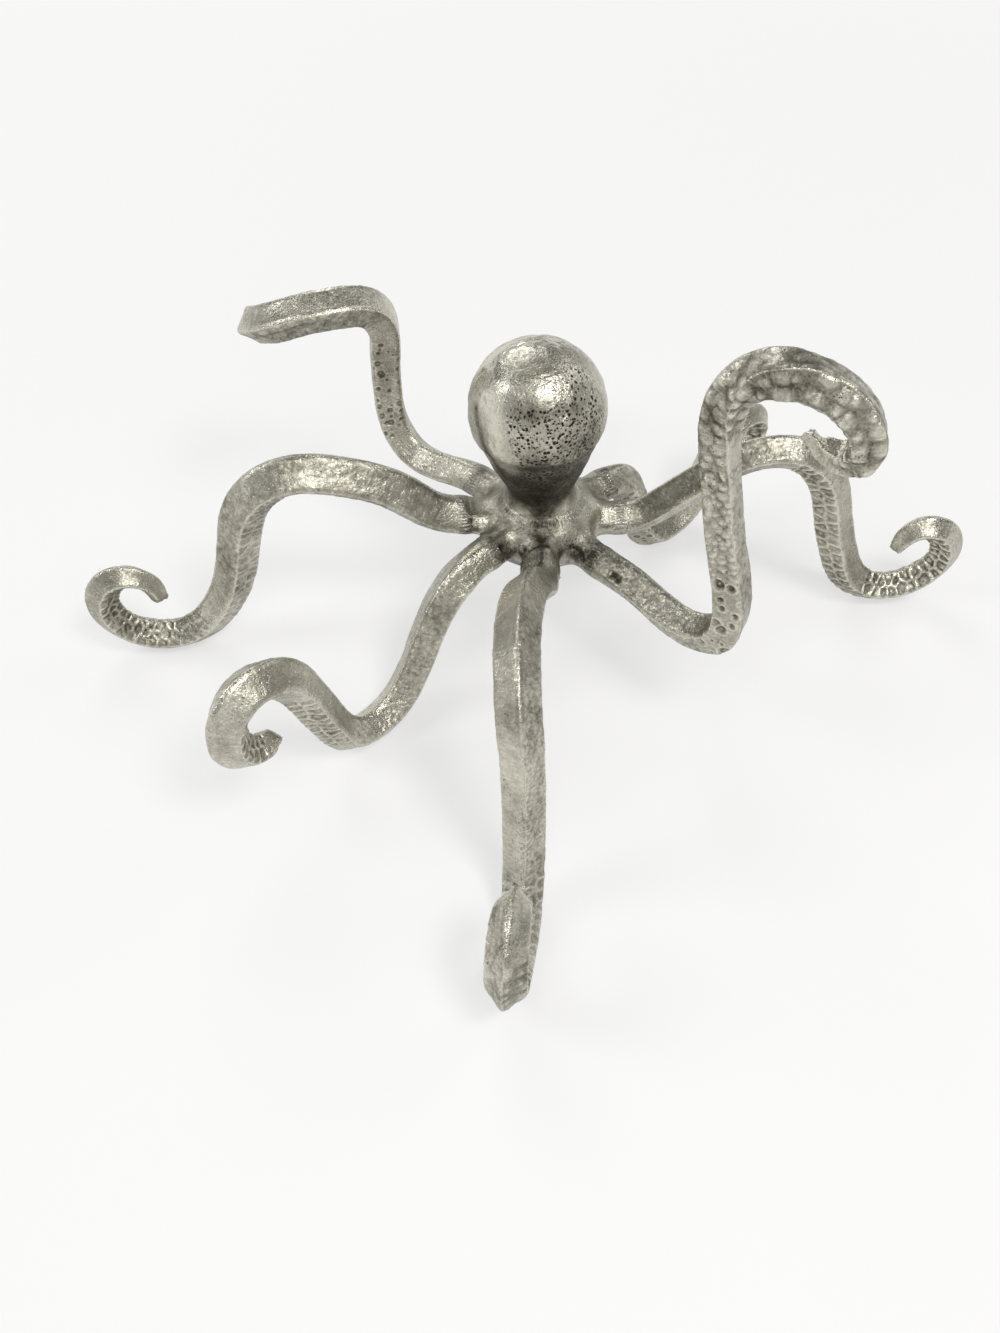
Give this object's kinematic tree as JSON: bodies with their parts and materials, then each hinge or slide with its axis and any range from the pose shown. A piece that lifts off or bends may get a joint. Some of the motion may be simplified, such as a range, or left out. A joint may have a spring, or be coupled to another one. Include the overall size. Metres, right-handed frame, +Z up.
{
  "type": "octopus ornament",
  "caption": "Free-standing octopus figurine in cast and welded aluminium: a pear-shaped head on a hub, with tapering curled arms that stand on the floor or hook up in the air.",
  "frame": {"origin": "on the floor, under the middle of the whole outline", "axes": "+Z up; +X along the left and right arms, to the viewer's right; +Y away from the viewer, opposite the front arm"},
  "size_m": [0.4386, 0.3834, 0.212],
  "materials": {
    "casting": "sand cast, wire brushed to a satin shine, dark in the pits",
    "weld_metal": "raw weld bead, lumpy, satin"
  },
  "bodies": {
    "root": {"hub": "casting", "head": "casting", "arm_left": "casting", "arm_right": "casting", "arm_front": "casting", "arm_front_left": "casting", "arm_front_right": "casting", "arm_back_left": "casting", "arm_back_right": "casting", "arm_back": "casting", "weld_head": "weld_metal", "weld_left": "weld_metal", "weld_right": "weld_metal", "weld_front": "weld_metal", "weld_front_left": "weld_metal", "weld_front_right": "weld_metal", "weld_back_left": "weld_metal", "weld_back_right": "weld_metal", "weld_back": "weld_metal"}
  },
  "joints": []
}
